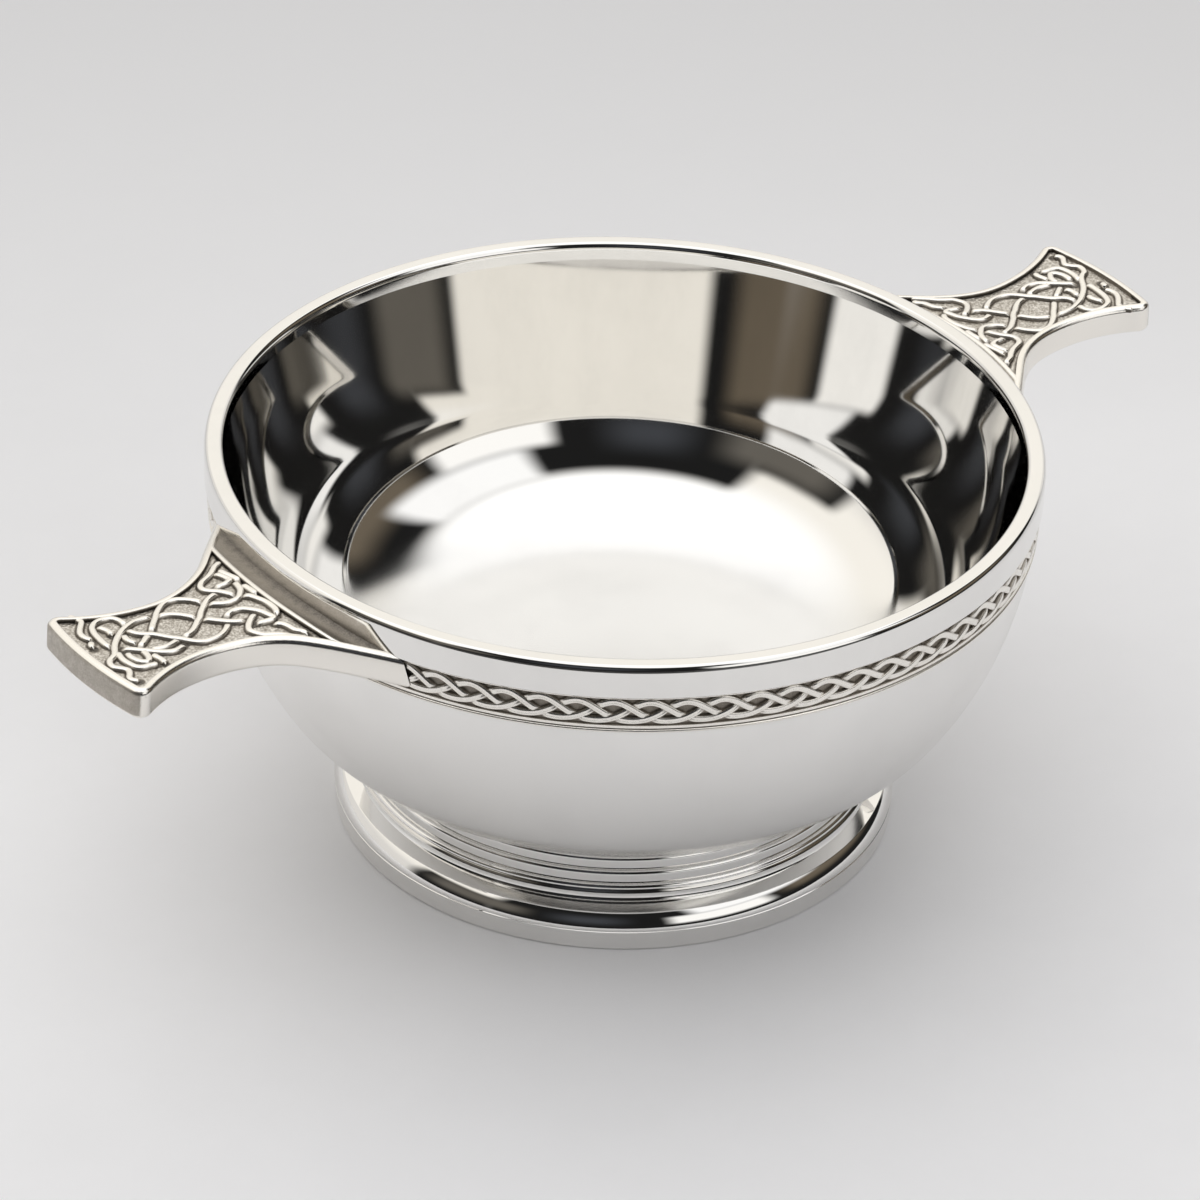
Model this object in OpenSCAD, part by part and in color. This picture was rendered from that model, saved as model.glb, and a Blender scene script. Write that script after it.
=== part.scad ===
// Quaich: a two-handled drinking bowl in polished pewter, on a moulded foot,
// with a knotwork band under the rim and two cast lug handles.
// Millimetres. +Z is up, the handles lie along X, and the origin is the middle of the resting face.

/* [Bowl] */
// Outside diameter over the rim
rim_d = 102; // [92:1:120]
// Height from the table to the top of the rim
height = 51; // [47:0.5:56]
// Thickness of the bowl's wall at its mouth
wall = 1.3; // [1.2:0.1:2]
// Least thickness of the wall, which the inside keeps all the way down
least_wall = 1; // [0.8:0.05:1.1]
// Height of the flat floor inside over the flat bottom outside
floor_rise = 7.15; // [5:0.05:9]
// Thickness of the floor over the hollow of the foot
floor_t = 1.8; // [1.2:0.1:2.6]
// How far the edge of the floor inside lies in from the mouth
floor_inset = 16.45; // [15:0.05:20]
// Radius of the turn from the floor inside into the straight wall
inner_turn_r = 15; // [12:0.5:16]
// How far the bowl's widest level lies inside the edge of the rim
bowl_inset = 0.75; // [0.6:0.05:1]
// Depth of the bowl's widest level below the top of the rim
belly_drop = 6.6; // [5:0.1:8]
// Radius of the long curve of the bowl's side
side_r = 43.35; // [40:0.05:48]
// Radius of the turn from the side into the flat bottom
turn_r = 18; // [14:0.5:21]

/* [Rim] */
// Width of the lip, seen from above
lip_w = 2.4; // [2.1:0.1:3.2]
// Depth of the lip's inner face
lip_h = 2.3; // [1.6:0.1:3]
// Radius of the lip's two upper edges
lip_round = 0.7; // [0.3:0.05:1]
// Height of the plain collar below the top of the rim
collar_h = 4.25; // [3.6:0.05:6]
// Thickness of the collar, which is the depth of the seat turned in the bowl's wall
collar_t = 1.3; // [1.1:0.05:1.6]

/* [Knotwork band] */
// Height of the band with its bead
band_h = 5; // [4:0.1:6.5]
// Height of the plain bead along the band's lower edge
bead_h = 0.45; // [0.3:0.05:0.8]
// Height of the plain border above and below the plait
band_border = 0.4; // [0.25:0.05:0.5]
// Number of eyes in the plait, all round
eyes = 75; // [60:3:90]
// Width of a strand of the plait
plait_w = 0.85; // [0.6:0.05:0.9]
// Rise of a strand of the plait over the middle of the band
plait_swing = 1.2; // [0.9:0.05:1.25]
// Thickness of the band behind its relief
band_plate = 0.5; // [0.35:0.05:0.6]
// Height of the relief over the band's ground
relief = 0.5; // [0.3:0.05:0.7]

/* [Handles] */
// Length of a handle from the band to the middle of its end, along its top
handle_reach = 28.4; // [24:0.1:36]
// Thickness of a handle
handle_t = 4; // [3:0.1:4.6]
// Upward slope of a handle in degrees
handle_rise = 4.7; // [0:0.1:8]
// Half of a handle's width where it meets the band
root_half = 17.6; // [14:0.1:20]
// Thickness of the blunt noses at the root's two corners
nose_t = 1.1; // [0.6:0.1:2]
// Distance from the band to the handle's waist
waist_x = 12.6; // [10:0.1:16]
// Half of a handle's width at its waist
waist_half = 6.4; // [5:0.1:8]
// Distance from the band to the handle's end corners
corner_x = 26.7; // [22:0.1:27.6]
// Half of a handle's width at its end corners
corner_half = 10.4; // [9:0.1:13]
// Radius of the edges round a handle
handle_round = 0.6; // [0.3:0.05:0.9]
// Width of the raised border round the sunk field
border_w = 1.1; // [1:0.05:1.6]
// Width of the plain strip along a handle's root
root_strip = 2.2; // [1.5:0.1:3.5]
// Width of the ridge on each side of the hollow strip along the root
ridge_w = 0.42; // [0.3:0.02:0.6]
// Depth of the hollow strip along the root
cove_depth = 0.36; // [0.2:0.02:0.45]
// Depth of the sunk field
field_depth = 0.5; // [0.4:0.05:0.8]
// Width of a strand of the knot
strand_w = 0.85; // [0.6:0.05:1]
// Clear width beside a strand where another dives under it
strand_gap = 0.22; // [0.15:0.01:0.3]
// Gap between a handle's top and the lower edge of the collar
handle_clear = 0.06; // [0.03:0.01:0.3]

/* [Foot] */
// Outside diameter of the foot
foot_d = 70; // [67:0.5:78]
// Height from the table to the bowl's flat bottom
foot_h = 12.95; // [11:0.05:15]
// Height of the flat-sided wire round the foot's edge
wire_h = 2.65; // [2:0.05:3.2]
// Width of the wire round the foot's edge
wire_w = 1.8; // [1.2:0.1:3]
// Radius of the wire's lower edges
wire_round = 0.3; // [0.1:0.05:0.5]
// Width of the rounded flange above the wire
flange_w = 2.3; // [1.8:0.1:2.6]
// Rise of the rounded flange
flange_rise = 1.25; // [0.8:0.05:1.6]
// Radius of the bead above the flange
bead_r = 0.45; // [0.3:0.05:0.6]
// Rise of the hollow moulding between the bead and the neck
cove_rise = 0.95; // [0.6:0.05:1.3]
// Radius of the foot's neck
neck_r = 29.3; // [28.4:0.05:30]
// Height of the neck's plain band
neck_band_h = 1.6; // [1:0.1:2]
// Height of each of the two steps above the neck's band
step_h = 0.7; // [0.4:0.05:0.9]
// Width of each step
step_w = 0.35; // [0.2:0.05:0.5]
// Thickness of the foot's wall
foot_wall = 1.5; // [1.1:0.1:2.2]

/* [Hidden] */
$fn = 180;
arc_steps = 16;
small_arc_steps = 6;
cut = 1;

// Bowl: a long side curve that runs into a tighter turn, which runs into the flat bottom
rim_r = rim_d / 2;
side_x = rim_r - bowl_inset - side_r;
side_z = height - belly_drop;
turn_z = foot_h + turn_r;
turn_x = side_x + sqrt(pow(side_r - turn_r, 2) - pow(side_z - turn_z, 2));
junction = atan2(turn_z - side_z, turn_x - side_x);
inner_r = side_x + side_r - wall;
floor_z = foot_h + floor_rise;
floor_r = inner_r - floor_inset;

// Rim and band, which sit on one seat turned in the bowl's wall
seat_r = rim_r - collar_t;
seat_top = height - lip_h;
band_top = height - collar_h;
band_bottom = band_top - band_h;
ground_r = seat_r + band_plate;
pad_r = ground_r + relief;
bead_out_r = pad_r - relief / 4;
border_r = ground_r + relief / 2;
plait_low = band_bottom + bead_h + 0.12;
plait_mid = (plait_low + band_top) / 2;
eye_angle = 360 / eyes;
eye_pitch = ground_r * eye_angle * PI / 180;
ledge_angle = asin((band_bottom - side_z) / side_r);

// Handle outline: on each side two arcs that touch at the waist, and a round end
tip_r = (pow(handle_reach - corner_x, 2) + pow(corner_half, 2)) / (2 * (handle_reach - corner_x));
tip_x = handle_reach - tip_r;
nose_y = root_half - nose_t / 4;
nose_x = sqrt(pow(pad_r + nose_t, 2) - pow(nose_y, 2)) - pad_r;
root_arc_r = (pow(waist_x - nose_x, 2) + pow(nose_y - waist_half, 2)) / (2 * (nose_y - waist_half));
end_arc_r = (pow(corner_x - waist_x, 2) + pow(corner_half - waist_half, 2)) / (2 * (corner_half - waist_half));
pad_angle = asin((root_half + nose_t) / pad_r);

// Knot of a handle: control points of each strand, in percent of the reach and of the end's half width
knot = [
    [[19, -47], [33, -28], [47, 11], [63, 25], [77, 7], [86, 17], [85, 51], [76, 51], [61, 45]],
    [[24, 32], [13, 32], [14, 6], [25, -1], [34, 24], [46, 39], [58, 13], [69, -21], [72, -54], [82, -53], [84, -6]],
    [[21, 14], [29, 15], [39, -9], [50, -36], [65, -36], [81, -6], [91, 35], [90, 68]],
    [[11, -60], [14, -30], [25, -25], [34, -42], [46, -45], [60, -21], [70, 8], [77, 38], [82, 28]],
    [[7, 105], [14, 73], [24, 54], [26, 33], [14, 4]],
    [[12, 23], [10, 0], [13, -27], [23, -52], [19, -78], [7, -105]]
];
// Where a strand dives: the strand, the one that passes over it, and the place
dives = [
    [0, 5, 20, -46], [0, 1, 55, 23], [1, 4, 24, 32], [1, 2, 29, 9], [1, 2, 71, -30], [1, 2, 84, -2],
    [2, 4, 22, 15], [2, 0, 39, -9], [2, 3, 54, -38], [2, 0, 86, 15], [3, 0, 29, -34], [3, 1, 65, -6],
    [3, 0, 73, 18], [4, 1, 15, 6], [5, 1, 13, 25], [5, 3, 14, -29]
];

// Foot levels, from the table up
foot_r = foot_d / 2;
bead_z = wire_h + flange_rise + bead_r;
bead_x = foot_r - flange_w - bead_r / 2;
cove_z = bead_z + bead_r;
neck_z = cove_z + cove_rise;
steps_z = neck_z + neck_band_h;
neck_top_r = neck_r - 3 * step_w;
hollow_r = neck_top_r - foot_wall;

// Points on an ellipse, or on a circle where both radii are the same
function arc(x, z, rx, rz, from, to, steps, first = 0) =
    [for (i = [first:steps]) let (a = from + (to - from) * i / steps) [x + rx * cos(a), z + rz * sin(a)]];

// The bowl's curve from the axis up to a given angle on its side, moved in by inset
function bowl_curve(inset, last_angle) = concat(
    [[0, foot_h + inset]],
    arc(turn_x, turn_z, turn_r - inset, turn_r - inset, -90, junction, arc_steps),
    arc(side_x, side_z, side_r - inset, side_r - inset, junction, last_angle, arc_steps, 1)
);

function reversed(points) = [for (i = [len(points) - 1:-1:0]) points[i]];

// Point between the middle two of four control points, on a smooth curve through them all
function between(p, t) = (2 * p[1] + (p[2] - p[0]) * t
    + (2 * p[0] - 5 * p[1] + 4 * p[2] - p[3]) * t * t
    + (3 * p[1] - p[0] - 3 * p[2] + p[3]) * t * t * t) / 2;

// Smooth line through control points
function smooth_line(points, steps) =
    let (last = len(points) - 1)
    let (line = concat([2 * points[0] - points[1]], points, [2 * points[last] - points[last - 1]]))
    concat(
        [for (i = [0:last - 1], j = [0:steps - 1]) between([for (k = [0:3]) line[i + k]], j / steps)],
        [points[last]]
    );

// Direction of a line at one of its points
function heading(line, i) =
    let (a = line[max(i - 1, 0)], b = line[min(i + 1, len(line) - 1)])
    (b - a) / norm(b - a);

// Line beside another
function beside(line, gap) = [for (i = [0:len(line) - 1]) let (h = heading(line, i)) line[i] + gap * [-h[1], h[0]]];

module ribbon(line, width) {
    polygon(concat(beside(line, width / 2), reversed(beside(line, -width / 2))));
}

// Outline of the space inside the bowl: flat floor, turn and straight wall
module inside_outline() {
    z = floor_z + inner_turn_r;
    across = inner_r - floor_r;
    slope = atan2(across, seat_top - z) - asin(inner_turn_r / norm([across, seat_top - z]));
    polygon(concat(
        [[0, floor_z]],
        arc(floor_r, z, inner_turn_r, inner_turn_r, -90, -slope, arc_steps),
        [[inner_r + cut * tan(slope), seat_top + cut], [0, seat_top + cut]]
    ));
}

// Bowl, turned down above the band to take the band and the rim, and hollowed from below over the foot
module bowl() {
    color([0.8, 0.8, 0.79])
        rotate_extrude()
            difference() {
                polygon(concat(bowl_curve(0, ledge_angle), [[seat_r, band_bottom], [seat_r, seat_top], [0, seat_top]]));
                intersection() {
                    inside_outline();
                    polygon(concat(
                        bowl_curve(least_wall, 0),
                        [[side_x + side_r - least_wall, seat_top + cut], [0, seat_top + cut]]
                    ));
                }
                square([hollow_r, floor_z - floor_t]);
            }
}

// Thick lip over the bowl's edge, with the plain collar hanging outside it
module rim_mount() {
    lip_r = rim_r - lip_w;
    color([0.84, 0.84, 0.83])
        rotate_extrude()
            polygon(concat(
                [[seat_r, band_top], [rim_r, band_top]],
                arc(rim_r - lip_round, height - lip_round, lip_round, lip_round, 0, 90, small_arc_steps),
                arc(lip_r + lip_round, height - lip_round, lip_round, lip_round, 90, 180, small_arc_steps),
                [[lip_r, seat_top], [seat_r, seat_top]]
            ));
}

// One visible run of the plait, from where a strand comes up to where it dives again, first in sixths of a turn
module plait_run(first) {
    dive = 18;
    middle = first * 60 + 90;
    line = [for (i = [0:8])
        let (t = (180 - 2 * dive) * (i / 8 - 0.5))
        [3 * eye_pitch * t / 360, plait_swing * cos(middle + t) + plait_swing / 10 * cos(2 * (middle + t))]];
    rotate([0, 0, 3 * eye_angle * middle / 360])
        translate([ground_r - band_plate / 2, 0, plait_mid])
            rotate([90, 0, 90])
                linear_extrude(band_plate / 2 + relief * 0.75)
                    ribbon(line, plait_w);
}

// Strip on the seat under the collar: borders, bead and plait, with plain pads where the handles are soldered on
module knotwork_band() {
    ground_z = band_bottom + bead_h;
    color([0.6, 0.58, 0.54]) {
        rotate_extrude()
            polygon(concat(
                [[seat_r, band_bottom], [bead_out_r - bead_h / 2, band_bottom]],
                arc(bead_out_r - bead_h / 2, band_bottom + bead_h / 2, bead_h / 2, bead_h / 2, -60, 60, small_arc_steps),
                [[ground_r, ground_z], [ground_r, plait_low], [border_r, plait_low]],
                [[border_r, plait_low + band_border], [ground_r, plait_low + band_border]],
                [[ground_r, band_top - band_border], [border_r, band_top - band_border]],
                [[border_r, band_top], [seat_r, band_top]]
            ));
        for (turn = [0, 180])
            rotate([0, 0, turn - pad_angle])
                rotate_extrude(angle = 2 * pad_angle)
                    translate([seat_r, ground_z])
                        square([pad_r - seat_r, band_top - ground_z]);
        for (side = [0, 180], i = [0:eyes])
            let (a = pad_angle + eye_angle * i)
            if (a < 180 - pad_angle - 2 * eye_angle)
                rotate([0, 0, side + a]) {
                    plait_run(-1);
                    plait_run(2);
                }
    }
}

// Cutters for the two hollow sides of a handle, which leave rounded edges on the plate
module side_cutters(r) {
    e = handle_round;
    for (side = [-1, 1])
        translate([waist_x, side * (waist_half + r), 0])
            rotate_extrude()
                polygon(concat(
                    [[0, cut], [0, -handle_t - cut], [r + e, -handle_t - cut]],
                    arc(r + e, -handle_t + e, e, e, 270, 180, small_arc_steps),
                    arc(r + e, -e, e, e, 180, 90, small_arc_steps),
                    [[r + e, cut]]
                ));
}

// Part of a handle from its root to its waist
module root_plate() {
    start = nose_x - 2 * nose_t;
    difference() {
        translate([start, -root_half, -handle_t])
            cube([waist_x - start, 2 * root_half, handle_t]);
        side_cutters(root_arc_r);
    }
}

// Part of a handle from its waist to its round end
module end_plate() {
    e = handle_round;
    difference() {
        intersection() {
            translate([tip_x, 0, 0])
                rotate_extrude()
                    polygon(concat(
                        [[0, 0], [0, -handle_t]],
                        arc(tip_r - e, -handle_t + e, e, e, -90, 0, small_arc_steps),
                        arc(tip_r - e, -e, e, e, 0, 90, small_arc_steps)
                    ));
            translate([waist_x, -tip_r, -handle_t - cut])
                cube([handle_reach, 2 * tip_r, handle_t + 2 * cut]);
        }
        side_cutters(end_arc_r);
    }
}

// Outline of the handle's top inside its border, from a given distance off the band
module field_outline(start) {
    difference() {
        translate([tip_x, 0])
            circle(r = tip_r - border_w);
        translate([-pad_r, 0])
            circle(r = pad_r + start);
        for (side = [-1, 1]) {
            translate([waist_x, side * (waist_half + root_arc_r)])
                circle(r = root_arc_r + border_w);
            intersection() {
                translate([waist_x, side * (waist_half + end_arc_r)])
                    circle(r = end_arc_r + border_w);
                translate([waist_x, side > 0 ? 0 : -2 * end_arc_r])
                    square([2 * end_arc_r, 2 * end_arc_r]);
            }
            translate([-pad_r, side > 0 ? root_half - border_w : -pad_r - root_half])
                square([pad_r + waist_x, pad_r + border_w]);
        }
    }
}

// Line of one strand of the knot
function strand_line(i) = smooth_line(
    [for (p = knot[i]) [p[0] * handle_reach / 100, p[1] * corner_half / 100]], 3);

// Knot of interlaced strands, cut away beside the upper strand wherever one dives under another
module knot_outline() {
    intersection() {
        field_outline(root_strip + strand_gap);
        for (i = [0:len(knot) - 1])
            difference() {
                ribbon(strand_line(i), strand_w);
                for (d = dives)
                    if (d[0] == i)
                        intersection() {
                            ribbon(strand_line(d[1]), strand_w + 2 * strand_gap);
                            translate([d[2] * handle_reach / 100, d[3] * corner_half / 100])
                                circle(r = 1.6 * strand_w);
                        }
            }
    }
}

// Hollow strip along the root, between two ridges
module root_cove() {
    width = root_strip - 2 * ridge_w;
    round_r = (pow(width / 2, 2) + pow(cove_depth, 2)) / (2 * cove_depth);
    reach = asin(width / 2 / round_r);
    intersection() {
        translate([-pad_r, 0, 0])
            rotate_extrude()
                polygon(concat(
                    arc(pad_r + root_strip / 2, round_r - cove_depth, round_r, round_r, 270 - reach, 270 + reach, 8),
                    [[pad_r + root_strip - ridge_w, cut], [pad_r + ridge_w, cut]]
                ));
        translate([0, 0, -handle_t])
            linear_extrude(handle_t + 2 * cut)
                field_outline(ridge_w / 2);
    }
}

// One lug with its root on the band and its top sloping up, for the +X side
module lug() {
    difference() {
        translate([pad_r, 0, band_top - handle_clear])
            rotate([0, -handle_rise, 0]) {
                difference() {
                    union() {
                        root_plate();
                        end_plate();
                    }
                    translate([0, 0, -field_depth])
                        linear_extrude(field_depth + cut)
                            field_outline(root_strip);
                    root_cove();
                }
                translate([0, 0, -1.5 * field_depth])
                    linear_extrude(1.4 * field_depth)
                        knot_outline();
            }
        translate([0, 0, band_bottom - height])
            cylinder(r = pad_r, h = 3 * height);
    }
}

module handle_left() {
    color([0.68, 0.66, 0.62])
        rotate([0, 0, 180])
            lug();
}

module handle_right() {
    color([0.68, 0.66, 0.62])
        lug();
}

// Moulded foot, hollow underneath, trimmed to the curve of the bowl that it carries
module foot_ring() {
    color([0.78, 0.77, 0.75])
        rotate_extrude()
            difference() {
                polygon(concat(
                    [[hollow_r, turn_z], [hollow_r, cove_z], [foot_r - flange_w - foot_wall, wire_h]],
                    [[foot_r - wire_w, wire_h]],
                    arc(foot_r - flange_w, wire_h, flange_w, flange_rise, 0, 90, arc_steps),
                    arc(bead_x, bead_z, bead_r, bead_r, -60, 90, small_arc_steps),
                    arc(bead_x, neck_z, bead_x - neck_r, cove_rise, 270, 180, small_arc_steps, 1),
                    [[neck_r, steps_z], [neck_r - step_w, steps_z]],
                    [[neck_r - step_w, steps_z + step_h], [neck_r - 2 * step_w, steps_z + step_h]],
                    [[neck_r - 2 * step_w, steps_z + 2 * step_h], [neck_top_r, steps_z + 2 * step_h]],
                    [[neck_top_r, turn_z]]
                ));
                polygon(concat(bowl_curve(0, ledge_angle), [[0, band_bottom]]));
            }
}

// Flat-sided wire under the flange, which the quaich stands on
module foot_wire() {
    inside_r = foot_r - wire_w;
    color([0.82, 0.82, 0.81])
        rotate_extrude()
            polygon(concat(
                arc(inside_r + wire_round, wire_round, wire_round, wire_round, 180, 270, small_arc_steps),
                arc(foot_r - wire_round, wire_round, wire_round, wire_round, 270, 360, small_arc_steps),
                [[foot_r, wire_h], [inside_r, wire_h]]
            ));
}

bowl();
rim_mount();
knotwork_band();
handle_left();
handle_right();
foot_ring();
foot_wire();
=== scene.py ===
"""Quaich: a two-handled drinking bowl in polished pewter, modelled and finished round its packed solids.

Laid out as an add-on and run as a script. Metres, +Z up, the handles lie along X.
Handle and band ornament is drawn in millimetres and scaled when it is placed.
"""
import math

import bpy
from bpy.props import FloatProperty, FloatVectorProperty, IntProperty, PointerProperty
from bpy.types import Operator, Panel, PropertyGroup
from mathutils import Matrix, Vector, noise
from mathutils.kdtree import KDTree


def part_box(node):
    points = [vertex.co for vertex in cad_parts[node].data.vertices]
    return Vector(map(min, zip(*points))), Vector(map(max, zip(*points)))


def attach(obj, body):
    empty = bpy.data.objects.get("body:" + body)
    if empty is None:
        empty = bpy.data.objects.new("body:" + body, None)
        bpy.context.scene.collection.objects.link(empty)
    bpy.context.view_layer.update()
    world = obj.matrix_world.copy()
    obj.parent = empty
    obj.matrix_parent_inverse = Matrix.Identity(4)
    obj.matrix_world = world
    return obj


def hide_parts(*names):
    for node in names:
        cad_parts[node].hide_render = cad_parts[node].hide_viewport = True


bl_info = {
    "name": "Quaich",
    "version": (1, 0, 0),
    "blender": (4, 5, 0),
    "location": "View3D > Sidebar > Quaich",
    "description": "Builds a pewter quaich with a knotwork band and cast lug handles",
    "category": "Object",
}

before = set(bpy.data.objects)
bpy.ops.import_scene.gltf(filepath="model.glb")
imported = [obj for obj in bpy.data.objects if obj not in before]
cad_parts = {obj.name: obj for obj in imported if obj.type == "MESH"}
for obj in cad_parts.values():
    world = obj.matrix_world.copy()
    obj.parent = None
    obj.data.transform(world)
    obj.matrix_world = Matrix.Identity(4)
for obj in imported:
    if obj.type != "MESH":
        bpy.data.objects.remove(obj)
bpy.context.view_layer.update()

MM = 0.001
WELD = 1e-6
# Steps of a turned piece round its axis, and of a step of the foot up its face
TURN_STEPS = 256
FACE_STEPS = 8
# Attribute that says how bright each point is rubbed, and how much oxide and painted shade darken it in the
# creases of the relief
POLISH_AND_SHADE = "polish"
# Corners of the solids' boxes
RIM_LOW, RIM_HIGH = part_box("rim_mount")
BOWL_LOW, BOWL_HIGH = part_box("bowl")
BAND_LOW, BAND_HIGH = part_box("knotwork_band")
_, WIRE_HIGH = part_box("foot_wire")


def length(name, description, millimetres):
    """A size property whose default is given in millimetres."""
    return FloatProperty(
        name=name, description=description, default=millimetres * MM, unit="LENGTH", precision=5)


def colour(name, description, value):
    """A colour property."""
    return FloatVectorProperty(
        name=name, description=description, default=value, subtype="COLOR", min=0, max=1)


def degrees(name, description, value):
    """An angle property whose default is given in degrees."""
    return FloatProperty(name=name, description=description, default=math.radians(value), subtype="ANGLE")


def factor(name, description, value):
    """A property between 0 and 1."""
    return FloatProperty(name=name, description=description, default=value, subtype="FACTOR", min=0, max=1)


class QuaichBowl(PropertyGroup):
    """Sizes of the turned pieces: bowl and rim."""
    mouth: length("Mouth", "How far the inside of the wall lies inside the edge of the rim, at the top", 2.05)
    wall_depth: length("Wall depth", "Height of the straight part of the wall inside", 18.1)
    lean: degrees("Lean", "How far the straight part of the wall leans out", 15)
    inner_turn: length("Inner turn", "Radius of the turn from the wall inside into the floor", 20)
    inset: length("Inset", "How far the widest level of the bowl lies inside the edge of the rim", 0.75)
    belly_drop: length("Belly drop", "Depth of the widest level below the top of the rim", 6.6)
    side_radius: length("Side radius", "Radius of the long curve of the side", 43.35)
    turn_radius: length("Turn radius", "Radius of the turn from the side into the flat bottom", 18)
    lip_width: length("Lip width", "Width of the lip, seen from above", 2.4)
    lip_round: length("Lip rounding", "Width of the rounding of the lip's two upper edges", 0.62)
    lip_drop: length("Lip drop", "Height of the rounding of the lip's two upper edges", 1)
    collar: length("Collar", "Thickness of the collar", 1.3)
    collar_bevel: length("Collar bevel", "Width of the bevel along the lower edge of the collar", 0.1)


class QuaichBand(PropertyGroup):
    """Sizes of the knotwork band."""
    plate: length("Plate", "Thickness of the band behind its relief", 0.5)
    bead: length("Bead", "Height of the bead along the lower edge", 0.45)
    groove: length("Groove", "Height of the groove between the bead and the lower border", 0.12)
    border: length("Border", "Height of the plain border above and below the plait", 0.4)
    border_face: factor("Border face", "How far the borders stand out, as a share of the relief", 0.55)
    border_slope: length("Border slope", "Height over which a border falls to the ground", 0.12)
    border_bevel: length("Border bevel", "Width of the bevels on the outer edges of the borders", 0.05)
    ribbon: length("Ribbon", "Width of a strand of the plait", 1)
    swing: length("Swing", "Rise of a strand over the middle of the band", 1.25)
    skew: length("Skew", "How much taller the eyes above are than the eyes below", 0.16)
    eyes: IntProperty(name="Eyes", description="Number of eyes round the band", default=75, min=9)


class QuaichHandle(PropertyGroup):
    """Sizes of one lug handle."""
    reach: length("Reach", "Length from the band to the middle of the end", 28.1)
    thickness: length("Thickness", "Thickness of the plate", 3.9)
    rise: degrees("Rise", "Upward slope of the plate", 2.9)
    lift: length("Lift", "Height of the top over the lower edge of the collar, at the root", 0.85)
    arch: length("Arch", "How much higher the root stands in its middle", 1)
    arch_half: length("Arch half", "Half of the width over which the arch stands above the plate", 14.907)
    arch_run: length("Arch run", "Distance from the band over which the arch dies out", 15)
    seat: length("Seat", "How far the root is let into the band, and stands clear of the collar", 0.15)
    root_half: length("Root half", "Half of the width at the band", 18)
    nose: length("Nose", "Thickness of the noses at the root", 0.7)
    flank: degrees("Flank", "Angle between the flanks of the root and the length", 45)
    waist_at: length("Waist place", "Distance from the band to the waist", 14.8)
    waist_half: length("Waist half", "Half of the width at the waist", 6.6)
    corner_at: length("Corner place", "Distance from the band to the end corners", 26.9)
    corner_half: length("Corner half", "Half of the width at the end corners", 10.7)
    corner_round: length("Corner rounding", "Radius of the end corners", 1.5)
    edge: length("Edge", "Radius of the rounded edges", 0.75)
    border: length("Border", "Width of the raised border", 1.15)
    root_strip: length("Root strip", "Width of the moulded strip along the root", 3.4)
    field: length("Field", "Depth of the sunk field", 0.5)
    strand: length("Strand", "Width of a strand of the knot", 0.98)
    relief: length("Relief", "Height of a strand over the field", 0.46)


class QuaichFoot(PropertyGroup):
    """Sizes of the moulded foot and its wire."""
    wire_width: length("Wire width", "Width of the wire", 1.8)
    wire_round: length("Wire rounding", "Radius of the lower edges of the wire", 0.3)
    lip_turn: length("Lip turn", "Radius of the short curve from the wire into the flange", 1.2)
    flange_radius: length("Flange radius", "Radius of the long curve of the flange", 4.2)
    flange_low: degrees("Flange low", "Slope at which the long curve starts", 16)
    flange_high: degrees("Flange high", "Slope at which the long curve ends", 43)
    ledge_round: length("Ledge rounding", "Radius of the edge between the flange and its ledge", 0.25)
    ledge_slope: degrees("Ledge slope", "Slope of the ledge behind the flange", 20)
    neck: length("Neck", "Radius of the lowest step of the neck", 32.3)
    hollowed: length("Hollowed", "How deep the face of the lowest step is hollowed", 0.22)
    first_step: length("First step", "Height of the lowest step over the ledge", 2.28)
    step_rise: length("Step rise", "Height of each step above", 1.6)
    step_width: length("Step width", "Width of each step", 0.6)
    step_round: length("Step rounding", "Radius of the upper edges of the steps", 0.6)
    hollow: length("Hollow", "Radius of the hollow inside", 26.75)
    hollow_start: length("Hollow start", "How far inside the edge the hollow starts to slope up", 3.8)
    hollow_rise: length("Hollow rise", "Height of that slope over the wire", 2.1)


class QuaichFinish(PropertyGroup):
    """Colours and polish of the pewter."""
    bright: colour("Bright", "Polished metal", (0.86, 0.85, 0.83))
    rubbed: colour("Rubbed", "Cast metal rubbed bright on the high places", (0.91, 0.88, 0.825))
    dull: colour("Dull", "Cast metal half way down the relief", (0.36, 0.325, 0.28))
    # Also the colour of the painted shade in the creases of the relief
    oxide_and_shade: colour("Oxide and painted shade", "Dark film in the recesses", (0.035, 0.031, 0.027))
    mirror: factor("Mirror", "Roughness of the mirror polish", 0.035)
    collar: factor("Collar", "Roughness of the rim and foot", 0.035)
    satin: factor("Satin", "Roughness of the outside of the bowl", 0.2)
    grain: factor("Grain", "Strength of the fine grain of the satin", 0.25)
    worn: factor("Worn", "Roughness that wear adds to the mirror polish", 0.2)
    worn_below: length("Worn below", "Height inside the bowl below which the mirror polish is worn soft", 21)
    worn_fade: length("Worn fade", "Height over which the polish passes from bright to worn", 4)


class QuaichStage(PropertyGroup):
    """Floor, studio and camera."""
    floor: colour("Floor", "Colour of the floor", (0.925, 0.925, 0.945))
    floor_radius: length("Floor radius", "Radius of the floor", 6000)
    # Painted shade: the floor's colour is darkened behind the bowl, as if less light reached it there
    painted_far_shade: factor("Painted far shade", "Share of the floor's colour that is left behind the bowl", 0.74)
    backdrop: colour("Backdrop", "What the camera sees past the floor", (0.66, 0.655, 0.655))
    light: FloatProperty(name="Light", description="Strength of the studio's light", default=1.14, min=0)
    azimuth: degrees("Azimuth", "Turn of the camera about the bowl", -39.09)
    elevation: degrees("Elevation", "Height of the camera over the horizon", 32.34)
    roll: degrees("Roll", "Tilt of the picture", 1.95)
    distance: length("Distance", "From the camera to the foot", 753.9)
    foot_right: length("Foot right", "How far the foot's centre lies right of the picture's middle", 1.63)
    foot_down: length("Foot down", "How far the foot's centre lies below the picture's middle", 23.51)
    lens: FloatProperty(name="Lens", description="Focal length in millimetres on a 36 mm sensor", default=180)


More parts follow.
